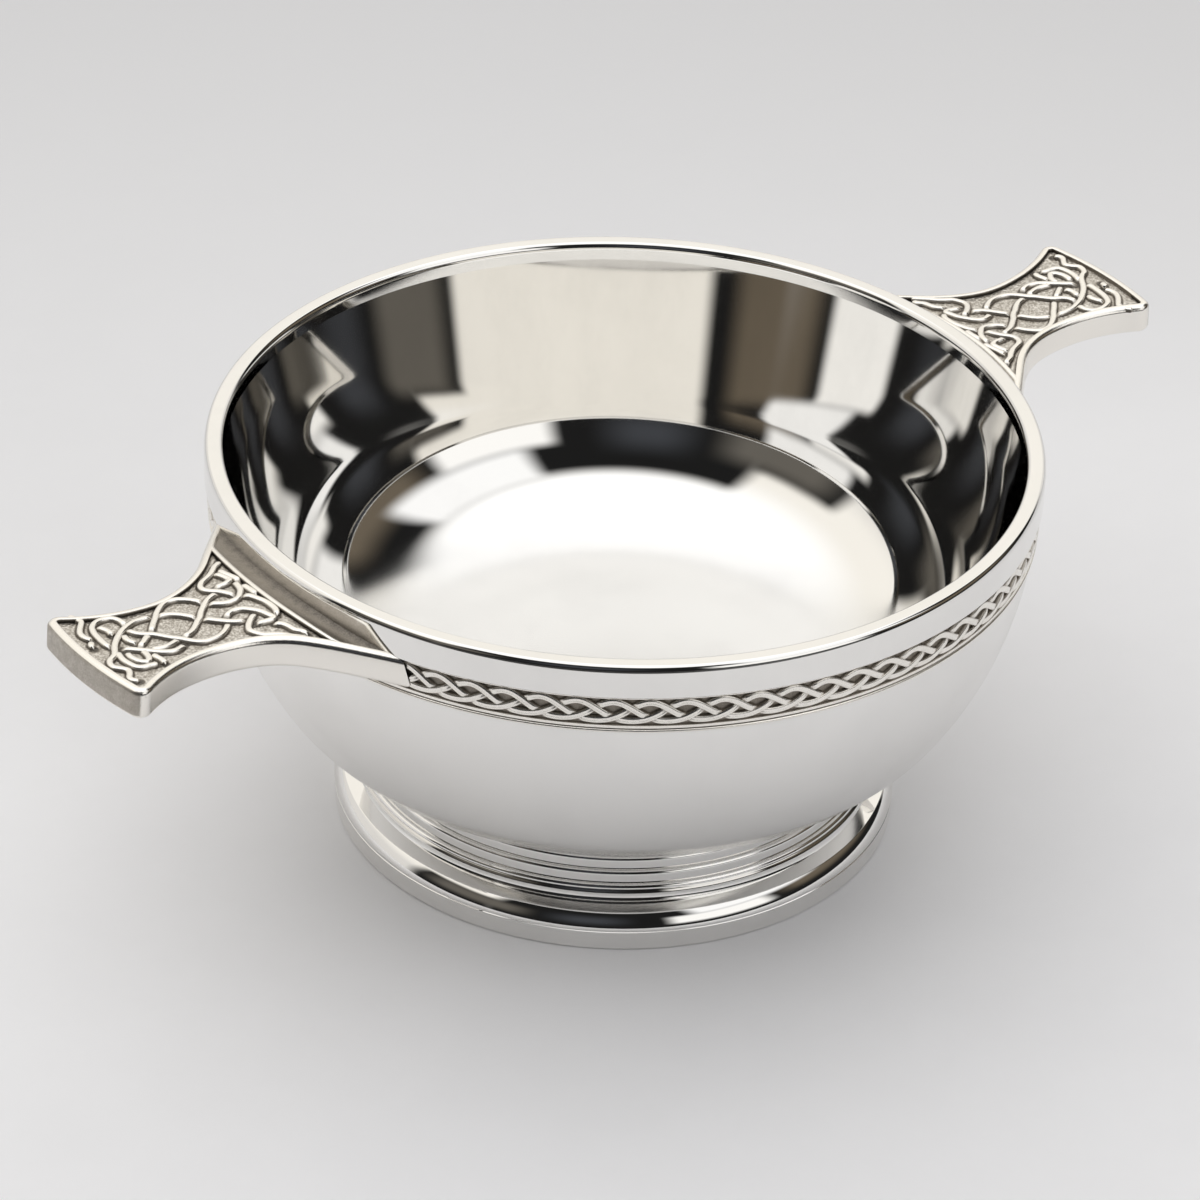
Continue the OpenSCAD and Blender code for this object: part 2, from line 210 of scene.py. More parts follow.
def deselect():
    """Leaves edit mode and lets go of everything, because operators act on all that is selected."""
    if bpy.context.mode != "OBJECT":
        bpy.ops.object.mode_set(mode="OBJECT")
    bpy.ops.object.select_all(action="DESELECT")


def arc(x, z, rx, rz, start, end, steps):
    """Points on an ellipse from one angle to another, in degrees."""
    angles = [math.radians(start + (end - start) * i / steps) for i in range(steps + 1)]
    return [(x + rx * math.cos(a), z + rz * math.sin(a)) for a in angles]


def straight(start, end, steps):
    """Even points on a line, without its end."""
    (x0, z0), (x1, z1) = start, end
    return [(x0 + (x1 - x0) * i / steps, z0 + (z1 - z0) * i / steps) for i in range(steps)]


def bisect(low, high, below):
    """The place between two values up to which below holds."""
    for _ in range(50):
        middle = (low + high) / 2
        if below(middle):
            low = middle
        else:
            high = middle
    return low


def smooth(low, high, value):
    """A soft step from 0 at low to 1 at high."""
    share = min(max((value - low) / (high - low), 0), 1)
    return share * share * (3 - 2 * share)


def turn_on_lathe(name, outline):
    """A turned piece: the outline is drawn point by point and spun round the upright axis."""
    deselect()
    bpy.ops.mesh.primitive_plane_add(size=MM)
    piece = bpy.context.object
    piece.name = name
    bpy.ops.object.mode_set(mode="EDIT")
    bpy.ops.mesh.select_all(action="SELECT")
    bpy.ops.mesh.merge(type="CENTER")
    here = (0, 0)
    for i, (x, z) in enumerate(outline):
        step = {"value": (x - here[0], 0, z - here[1])}
        if i == 0:
            bpy.ops.transform.translate(**step)
        else:
            bpy.ops.mesh.extrude_vertices_move(TRANSFORM_OT_translate=step)
        here = (x, z)
    bpy.ops.mesh.select_all(action="SELECT")
    bpy.ops.mesh.spin(steps=TURN_STEPS, angle=2 * math.pi, center=(0, 0, 0), axis=(0, 0, 1))
    close_mesh()
    return piece


def close_mesh():
    """Welds the seams of the mesh in edit mode, turns its faces outwards and leaves edit mode."""
    bpy.ops.mesh.select_all(action="SELECT")
    bpy.ops.mesh.remove_doubles(threshold=WELD)
    bpy.ops.mesh.normals_make_consistent(inside=False)
    bpy.ops.object.mode_set(mode="OBJECT")


def shape_sheet(name, columns, rows, place):
    """A grid whose points go where place(column share, row share) says, with the polish and painted shade it
    gives.
    """
    deselect()
    bpy.ops.mesh.primitive_grid_add(x_subdivisions=columns, y_subdivisions=rows, size=1)
    sheet = bpy.context.object
    sheet.name = name
    polish = []
    for vertex in sheet.data.vertices:
        *place_mm, worn = place(vertex.co.x + 0.5, vertex.co.y + 0.5)
        vertex.co = Vector(place_mm) * MM
        polish.append(worn)
    set_polish_and_shade(sheet, polish)
    return sheet


def set_polish_and_shade(piece, values):
    """Stores how bright each point is: 0 for dark oxide and painted shade in the recesses, 1 rubbed bright on
    the high places.
    """
    layer = piece.data.attributes.get(POLISH_AND_SHADE) or piece.data.attributes.new(POLISH_AND_SHADE, "FLOAT", "POINT")
    layer.data.foreach_set("value", values)


def join(pieces):
    """Joins pieces into the first of them."""
    deselect()
    for piece in pieces:
        piece.select_set(True)
    bpy.context.view_layer.objects.active = pieces[0]
    bpy.ops.object.join()
    return pieces[0]


def finish_piece(piece, node, materials, sharp=30):
    """Shades a piece, gives it its materials and puts it in place of its solid."""
    deselect()
    piece.select_set(True)
    bpy.context.view_layer.objects.active = piece
    bpy.ops.object.shade_smooth_by_angle(angle=math.radians(sharp))
    piece.data.materials.clear()
    for material in materials:
        piece.data.materials.append(material)
    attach(piece, "root")
    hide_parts(node)


class Nodes:
    """Short ways to add and link shader nodes."""

    def __init__(self, tree):
        self.tree = tree
        tree.nodes.clear()

    def add(self, kind, inputs=None, **settings):
        """Adds a node; inputs holds values and sockets by name or number."""
        node = self.tree.nodes.new(kind)
        for key, value in settings.items():
            setattr(node, key, value)
        for key, value in (inputs or {}).items():
            self.put(node.inputs[key], value)
        return node

    def put(self, socket, value):
        """Links a socket to another, or sets its value."""
        if isinstance(value, bpy.types.NodeSocket):
            self.tree.links.new(value, socket)
        else:
            socket.default_value = value

    def show(self, kind, shader):
        """Adds the output node and links a shader to it."""
        self.put(self.add(kind).inputs["Surface"], shader.outputs[0])

    def math(self, operation, *values):
        """One step of arithmetic."""
        return self.add("ShaderNodeMath", dict(enumerate(values)), operation=operation).outputs[0]

    def span(self, value, low, high, to_low=0, to_high=1):
        """A soft step of a value from low to high."""
        limits = {"Value": value, "From Min": low, "From Max": high, "To Min": to_low, "To Max": to_high}
        return self.add("ShaderNodeMapRange", limits, interpolation_type="SMOOTHSTEP").outputs["Result"]

    def mix(self, share, first, second):
        """A mix of two colours."""
        node = self.add("ShaderNodeMix", data_type="RGBA")
        sockets = [s for s in node.inputs if s.enabled]
        for socket, value in zip(sockets, (share, first, second)):
            self.put(socket, value)
        return [s for s in node.outputs if s.enabled][0]

    def along(self, place, x, y):
        """How far a place or a direction reaches along a level direction."""
        node = self.add("ShaderNodeVectorMath", {0: place, 1: (x, y, 0)}, operation="DOT_PRODUCT")
        return node.outputs["Value"]

    def noise(self, scale, detail, roughness):
        """Noise on the piece's own coordinates, per metre."""
        place = self.add("ShaderNodeTexCoord").outputs["Object"]
        grain = {"Vector": place, "Scale": scale, "Detail": detail, "Roughness": roughness}
        return self.add("ShaderNodeTexNoise", grain).outputs["Fac"]


def opaque(value):
    """A colour with its alpha."""
    return (*value, 1)


def new_material(name):
    """An empty material, and its nodes."""
    material = bpy.data.materials.new(name)
    material.use_nodes = True
    return material, Nodes(material.node_tree)


def polished_pewter(kind, finish):
    """Polished metal with faint handling marks; satin has a fine grain, the mirror is worn soft low down."""
    material, nodes = new_material(kind)
    polish = {"mirror_pewter": finish.mirror, "bright_pewter": finish.collar, "satin_pewter": finish.satin}
    roughness = polish[kind]
    smudge = nodes.noise(scale=70, detail=4, roughness=0.6)
    wiped = nodes.span(smudge, 0.35, 0.75, roughness * 0.85, roughness * 1.3)
    if kind == "mirror_pewter":
        place = nodes.add("ShaderNodeTexCoord").outputs["Object"]
        level = nodes.add("ShaderNodeSeparateXYZ", {0: place}).outputs["Z"]
        all_worn = finish.worn_below - finish.worn_fade
        wiped = nodes.math("ADD", wiped, nodes.span(level, finish.worn_below, all_worn, 0, finish.worn))
    smudged = opaque([c * 0.965 for c in finish.bright])
    tint = nodes.mix(nodes.span(smudge, 0.4, 0.7), opaque(finish.bright), smudged)
    shader = nodes.add("ShaderNodeBsdfPrincipled", {"Base Color": tint, "Roughness": wiped, "Metallic": 1.0})
    if kind == "satin_pewter":
        fine = nodes.noise(scale=5200, detail=2, roughness=0.5)
        grain = {"Height": fine, "Strength": finish.grain, "Distance": 0.02 * MM}
        nodes.put(shader.inputs["Normal"], nodes.add("ShaderNodeBump", grain).outputs[0])
    nodes.show("ShaderNodeOutputMaterial", shader)
    return material


def cast_pewter(finish):
    """Cast metal with a dark film of oxide and painted shade in its recesses, rubbed bright on the high
    places.
    """
    material, nodes = new_material("cast_pewter")
    worn = nodes.add("ShaderNodeAttribute", attribute_name=POLISH_AND_SHADE).outputs["Fac"]
    cloudy = nodes.math("SUBTRACT", nodes.noise(scale=900, detail=4, roughness=0.65), 0.5)
    speckle = nodes.math("SUBTRACT", nodes.noise(scale=6500, detail=3, roughness=0.7), 0.5)
    level = nodes.math("ADD", worn, nodes.math("MULTIPLY", cloudy, 0.22))
    level = nodes.math("ADD", level, nodes.math("MULTIPLY", speckle, 0.35))
    # Low levels, from oxide and painted shade, go dark
    low = nodes.mix(nodes.span(level, 0.02, 0.42), opaque(finish.oxide_and_shade), opaque(finish.dull))
    tone = nodes.mix(nodes.span(level, 0.38, 0.85), low, opaque(finish.rubbed))
    pits = nodes.span(nodes.noise(scale=2300, detail=5, roughness=0.75), 0.66, 0.72)
    tone = nodes.mix(nodes.math("MULTIPLY", pits, 0.55), tone, opaque(finish.dull))
    gloss = nodes.span(level, 0.2, 1.0, 0.5, 0.16)
    bump = nodes.add("ShaderNodeBump", {"Height": speckle, "Strength": 0.35, "Distance": 0.04 * MM})
    shader = nodes.add("ShaderNodeBsdfPrincipled", {"Base Color": tone, "Roughness": gloss, "Metallic": 1.0})
    nodes.put(shader.inputs["Normal"], bump.outputs[0])
    nodes.show("ShaderNodeOutputMaterial", shader)
    return material


def pewter(kind, finish):
    """The named finish, made once."""
    found = bpy.data.materials.get(kind)
    if found:
        return found
    return cast_pewter(finish) if kind == "cast_pewter" else polished_pewter(kind, finish)


def bowl_curve(bowl):
    """The outside of the bowl from the middle of its bottom up to the lower edge of the band."""
    side_x = RIM_HIGH.x - bowl.inset - bowl.side_radius
    side_z = RIM_HIGH.z - bowl.belly_drop
    turn_z = BOWL_LOW.z + bowl.turn_radius
    span = bowl.side_radius - bowl.turn_radius
    turn_x = side_x + math.sqrt(span ** 2 - (side_z - turn_z) ** 2)
    junction = math.degrees(math.atan2(turn_z - side_z, turn_x - side_x))
    ledge = math.degrees(math.asin((BAND_LOW.z - side_z) / bowl.side_radius))
    bottom = straight((0, BOWL_LOW.z), (turn_x, BOWL_LOW.z), 8)
    turn = arc(turn_x, turn_z, bowl.turn_radius, bowl.turn_radius, -90, junction, 40)
    side = arc(side_x, side_z, bowl.side_radius, bowl.side_radius, junction, ledge, 44)
    return bottom + turn + side[1:]


def inside_curve(bowl):
    """The inside from the rim down its leaning wall and round the turn to the middle of the floor."""
    top_x, top_z = RIM_HIGH.x - bowl.mouth, BOWL_HIGH.z
    low_x, low_z = top_x - bowl.wall_depth * math.tan(bowl.lean), top_z - bowl.wall_depth
    r = bowl.inner_turn
    x, z = low_x - r * math.cos(bowl.lean), low_z + r * math.sin(bowl.lean)
    wall = straight((top_x, top_z), (low_x, low_z), 30)
    turn = arc(x, z, r, r, -math.degrees(bowl.lean), -90, 60)
    middle = (0, z - r)
    return wall + turn + straight((x, z - r), middle, 24)[1:] + [middle]


class QUAICH_OT_bowl(Operator):
    """Turned bowl with a flat bottom, mirror polished inside and satin outside"""
    bl_idname = "quaich.bowl"
    bl_label = "Bowl"

    def execute(self, context):
        bowl = context.scene.quaich_bowl
        finish = context.scene.quaich_finish
        seat = RIM_HIGH.x - bowl.collar
        outline = bowl_curve(bowl) + [(seat, BAND_LOW.z), (seat, BOWL_HIGH.z)] + inside_curve(bowl)
        piece = turn_on_lathe("quaich_bowl", outline)
        materials = [pewter("satin_pewter", finish), pewter("mirror_pewter", finish)]
        finish_piece(piece, "bowl", materials)
        mouth = Vector((0, 0, RIM_HIGH.z))
        for face in piece.data.polygons:
            face.material_index = int(face.normal.dot(mouth - face.center) > 0)
        return {"FINISHED"}


class QUAICH_OT_rim(Operator):
    """Thick lip with its plain collar"""
    bl_idname = "quaich.rim"
    bl_label = "Rim"

    def execute(self, context):
        bowl = context.scene.quaich_bowl
        r, drop, bevel = bowl.lip_round, bowl.lip_drop, bowl.collar_bevel
        seat = RIM_HIGH.x - bowl.collar
        lip = RIM_HIGH.x - bowl.lip_width
        outline = [(seat, RIM_LOW.z), (RIM_HIGH.x - bevel, RIM_LOW.z), (RIM_HIGH.x, RIM_LOW.z + bevel)]
        outline += arc(RIM_HIGH.x - r, RIM_HIGH.z - drop, r, drop, 0, 90, 14)
        outline += arc(lip + r, RIM_HIGH.z - drop, r, drop, 90, 180, 14)
        outline += [(lip, BOWL_HIGH.z), (seat, BOWL_HIGH.z), (seat, RIM_LOW.z)]
        piece = turn_on_lathe("quaich_rim_mount", outline)
        materials = [pewter("bright_pewter", context.scene.quaich_finish)]
        finish_piece(piece, "rim_mount", materials)
        return {"FINISHED"}


class QUAICH_OT_foot(Operator):
    """Moulded foot and the wire that it stands on"""
    bl_idname = "quaich.foot"
    bl_label = "Foot"

    def execute(self, context):
        foot = context.scene.quaich_foot
        materials = [pewter("bright_pewter", context.scene.quaich_finish)]
        edge = WIRE_HIGH.x
        low = WIRE_HIGH.z
        curve = bowl_curve(context.scene.quaich_bowl)
        first, last = math.degrees(foot.flange_low), math.degrees(foot.flange_high)
        flat = 90 - math.degrees(foot.ledge_slope)
        outline = [(foot.hollow, seat_height(curve, foot.hollow)), (foot.hollow, low + foot.hollow_rise)]
        outline += [(edge - foot.hollow_start, low), (edge - foot.wire_width, low), (edge, low)]
        flange = (
            (foot.lip_turn, 0, first, 8),
            (foot.flange_radius, first, last, 24),
            (foot.ledge_round, last, flat, 8),
        )
        for radius, angle, end, steps in flange:
            x, z = outline[-1]
            x -= radius * math.cos(math.radians(angle))
            z -= radius * math.sin(math.radians(angle))
            outline += arc(x, z, radius, radius, angle, end, steps)[1:]
        x, z = outline[-1]
        z += (x - foot.neck) * math.tan(foot.ledge_slope)
        r = foot.step_round
        for i, rise in enumerate((foot.first_step, foot.step_rise, foot.step_rise)):
            x = foot.neck - i * foot.step_width
            hollowed = 0 if i else foot.hollowed
            for share in (k / FACE_STEPS for k in range(FACE_STEPS)):
                outline.append((x - 4 * hollowed * share * (1 - share), z + (rise - r) * share))
            z += rise
            outline += arc(x - r, z - r, r, r, 0, 90, 10)
        outline += [(x - r, seat_height(curve, x - r)), outline[0]]
        finish_piece(turn_on_lathe("quaich_foot_ring", outline), "foot_ring", materials)

        inside = edge - foot.wire_width
        r = foot.wire_round
        outline = arc(inside + r, r, r, r, 180, 270, 6) + arc(edge - r, r, r, r, 270, 360, 6)
        outline += [(edge, low - r / 2), (edge - r / 2, low), (inside, low), (inside, r)]
        finish_piece(turn_on_lathe("quaich_foot_wire", outline), "foot_wire", materials)
        return {"FINISHED"}


def seat_height(curve, radius):
    """Height of the bowl's outside at a radius."""
    for (x0, z0), (x1, z1) in zip(curve, curve[1:]):
        if x0 <= radius <= x1:
            return z0 + (z1 - z0) * (radius - x0) / (x1 - x0)
    raise RuntimeError("the foot reaches past the bowl")


class QUAICH_OT_band(Operator):
    """Knotwork band: a ground with plain borders and a bead, and a plait of three strands"""
    bl_idname = "quaich.band"
    bl_label = "Knotwork band"

    def execute(self, context):
        band = context.scene.quaich_band
        bowl = context.scene.quaich_bowl
        seat = RIM_HIGH.x - bowl.collar
        ground = seat + band.plate
        relief = BAND_HIGH.x - ground
        top, low = BAND_HIGH.z, BAND_LOW.z
        face = ground + band.border_face * relief
        border, slope, bevel = band.border, band.border_slope, band.border_bevel
        half_bead = band.bead / 2
        foot_z = low + band.bead + band.groove
        bead = arc(BAND_HIGH.x - relief / 4 - half_bead, low + half_bead, half_bead, half_bead, -75, 75, 8)
        outline = [(seat, low)] + bead
        outline += [(ground, low + band.bead), (ground, foot_z), (face, foot_z + bevel)]
        outline += [(face, foot_z + border), (ground, foot_z + border + slope)]
        outline += [(ground, top - border - slope), (face, top - border)]
        outline += [(face, top - bevel), (face - bevel, top), (seat, top), (seat, low)]
        piece = turn_on_lathe("quaich_knotwork_band", outline)
        rings = [math.hypot(v.co.x, v.co.y) for v in piece.data.vertices]
        set_polish_and_shade(piece, [0.3 + 0.5 * smooth(ground, face, r) for r in rings])
        plait = join([self.ribbon(band, first, ground, relief, top, foot_z) for first in (-1, 2)])
        bpy.ops.object.mode_set(mode="EDIT")
        bpy.ops.mesh.select_all(action="SELECT")
        bpy.ops.mesh.spin(steps=band.eyes, dupli=True, angle=2 * math.pi, center=(0, 0, 0), axis=(0, 0, 1))
        bpy.ops.object.mode_set(mode="OBJECT")
        piece = join([piece, plait])
        materials = [pewter("cast_pewter", context.scene.quaich_finish)]
        finish_piece(piece, "knotwork_band", materials)
        return {"FINISHED"}

    def ribbon(self, band, first, ground, relief, top, low):
        """One visible run of a strand, from one place where it dives under to the next."""
        middle = (top + low) / 2
        pitch = 2 * math.pi * ground / band.eyes
        overrun, step = 0.12, 0.01

        def centre(turn):
            rise = band.swing * math.cos(turn) + band.skew * math.cos(2 * turn)
            return 3 * pitch * turn / (2 * math.pi), rise

        def place(u, v):
            turn = math.pi / 3 * (first + 3 * u) + overrun * (2 * u - 1)
            (s0, z0), (s1, z1) = centre(turn - step), centre(turn + step)
            s, z = centre(turn)
            run = math.hypot(s1 - s0, z1 - z0)
            t = 2 * v - 1
            s -= (z1 - z0) / run * t * band.ribbon / 2
            z += (s1 - s0) / run * t * band.ribbon / 2
            dive = 1 - smooth(0, 0.17, min(u, 1 - u))
            crown = (1 - abs(t) ** 5) ** 0.5 - 0.06 * smooth(0.35, 0, abs(t))
            r = ground + relief * (crown * (1 - 0.75 * dive) - 0.08)
            angle = s / ground
            # Oxide and painted shade: the strand darkens toward its edges and where it dives under the next
            worn = (1 - smooth(0.7, 1, abs(t))) * (1 - 0.6 * dive)
            return r / MM * math.cos(angle), r / MM * math.sin(angle), (middle + z) / MM, 0.2 + 0.6 * worn

        return shape_sheet("strand", 30, 10, place)


class HandlePlan:
    """Plan of one handle in millimetres: x runs out from the band, y across, z up from the top face."""
    ROOT_STEPS = 39
    SIDE_STEPS = 70
    CORNER_STEPS = 8
    END_STEPS = 24

    def __init__(self, handle):
        for key in QuaichHandle.__annotations__:
            value = getattr(handle, key)
            setattr(self, key, value if key in ("rise", "flank") else value / MM)
        self.pad = BAND_HIGH.x / MM
        self.top = RIM_LOW.z / MM + self.lift
        bow = self.reach - self.corner_at
        self.tip_r = (bow ** 2 + self.corner_half ** 2) / (2 * bow)
        self.tip_x = self.reach - self.tip_r
        nose_x = math.sqrt((self.pad + self.nose) ** 2 - self.root_half ** 2) - self.pad
        run, drop = self.waist_at - nose_x, self.root_half - self.waist_half
        sin, cos = math.sin(self.flank), math.cos(self.flank)
        self.root_arc = (run * sin - drop * cos) / (1 - cos)
        run, drop = self.corner_at - self.waist_at, self.corner_half - self.waist_half
        self.end_arc = (run ** 2 + drop ** 2) / (2 * drop)
        corner_y = self.tip_corner(self.corner_round)
        self.corner = Vector((self.tip(corner_y, self.corner_round), corner_y))
        hollow = Vector((self.waist_at, self.waist_half + self.end_arc)) - self.corner
        bulge = self.corner - Vector((self.tip_x, 0))
        self.corner_turn = [math.degrees(math.atan2(way.y, way.x)) for way in (hollow, bulge)]

    def touch(self, inset):
        """Where the straight flank runs into the hollow side."""
        r = self.root_arc + inset
        x = self.waist_at - r * math.sin(self.flank)
        return x, self.waist_half + self.root_arc - r * math.cos(self.flank)

    def side(self, x, inset):
        """Half of the plan's width at x, with the edge moved in."""
        touch_x, touch_y = self.touch(inset)
        if x < touch_x:
            return touch_y + (touch_x - x) * math.tan(self.flank)
        r = self.root_arc if x < self.waist_at else self.end_arc
        return self.waist_half + r - math.sqrt((r + inset) ** 2 - (x - self.waist_at) ** 2)

    def side_x(self, y, inset):
        """Where the root's side reaches a half width."""
        touch_x, touch_y = self.touch(inset)
        if y > touch_y:
            return touch_x - (y - touch_y) / math.tan(self.flank)
        r = self.root_arc
        return self.waist_at - math.sqrt((r + inset) ** 2 - (self.waist_half + r - y) ** 2)

    def root(self, y, inset):
        """The face against the band, moved out by inset."""
        return math.sqrt((self.pad + inset) ** 2 - y ** 2) - self.pad

    def tip(self, y, inset):
        """The round end, moved in."""
        return self.tip_x + math.sqrt((self.tip_r - inset) ** 2 - y ** 2)

    def root_corner(self, inset, root_inset):
        """Half width at which the side meets the root."""
        def outside(y):
            return self.side_x(y, inset) > self.root(y, root_inset)

        return bisect(self.waist_half, self.root_half + 2, outside)

    def tip_corner(self, inset):
        """Half width at which the side meets the round end."""
        def inside(y):
            return self.side(self.tip(y, inset), inset) > y

        return bisect(self.waist_half - inset, self.corner_half, inside)

    def half_ring(self, inset, root_inset):
        """Points round one side, from mid root to mid end, each with its share of the root."""
        y_root = self.root_corner(inset, root_inset)
        r = max(self.corner_round - inset, 0.02)
        if inset < self.corner_round:
            centre = self.corner
        else:
            y_tip = self.tip_corner(inset)
            centre = Vector((self.tip(y_tip, inset), y_tip))
        corner = arc(centre.x, centre.y, r, r, *self.corner_turn, self.CORNER_STEPS)
        points = []
        for i in range(self.ROOT_STEPS + 1):
            y = y_root * math.sin(math.pi / 2 * i / self.ROOT_STEPS)
            points.append((self.root(y, root_inset), y, smooth(0, 0.8, y_root - y)))
        start, end = self.side_x(y_root, inset), corner[0][0]
        for i in range(1, self.SIDE_STEPS):
            x = start + (end - start) * i / self.SIDE_STEPS
            points.append((x, self.side(x, inset), 0))
        points += [(x, y, 0) for x, y in corner]
        y_tip = corner[-1][1]
        for i in range(1, self.END_STEPS + 1):
            y = y_tip * (1 - i / self.END_STEPS)
            points.append((self.tip(y, inset), y, 0))
        return points

    def ring(self, inset, root_inset):
        """The whole outline, moved in by one distance and along the root by another."""
        half = self.half_ring(inset, root_inset)
        return half + [(x, -y, root) for x, y, root in reversed(half[1:-1])] + half[:1]

    def spread(self, inset, root_inset):
        """A way to spread a grid over the plan: it takes shares along and across and gives the place."""
        y_root, y_tip = self.root_corner(inset, root_inset), self.tip_corner(inset)
        x_root, x_tip = self.side_x(y_root, inset), self.tip(y_tip, inset)

        def at(u, v):
            t = 2 * v - 1
            x = x_root + (x_tip - x_root) * u
            root_bow = self.root(y_root * t, root_inset) - x_root
            tip_bow = self.tip(y_tip * t, inset) - x_tip
            return Vector((x + root_bow * (1 - u) + tip_bow * u, self.side(x, inset) * t))

        return at

    def arch_rise(self, x, y):
        """How far the arch of the root lifts a place of the plan."""
        return self.arch * (1 - (y / self.arch_half) ** 2) * (1 - smooth(0, self.arch_run, x))

    def on_top(self, traced):
        """Moves a traced point down the line of sight onto the arched top, to a tenth of a millimetre."""
        x, y = traced
        for _ in range(SIGHT_ROUNDS):
            gap = TRACE_LIFT - TRACE_FALL * x - self.arch_rise(x, y)
            x, y = traced[0] - SIGHT_ALONG * gap, traced[1] - SIGHT_ACROSS * gap
        return round(x, 1), round(y, 1)

    def to_world(self, x, y, z):
        """From the plan to the right-hand handle's place, with the arch of the root."""
        c, s = math.cos(self.rise), math.sin(self.rise)
        z += self.arch_rise(x, y)
        return self.pad + x * c - z * s, y, self.top + x * s + z * c


# Millimetres between the points of a finished strand
KNOT_STEP = 0.25

# The knot was traced on a flat view: its height over the root's top, and its fall per millimetre out
TRACE_LIFT = 0.9
TRACE_FALL = 0.0088
# How far the line of sight runs along and across the handle, per unit of height
SIGHT_ALONG = 0.996
SIGHT_ACROSS = 1.226
# Rounds that bring a traced point down that line onto the arched top
SIGHT_ROUNDS = 20

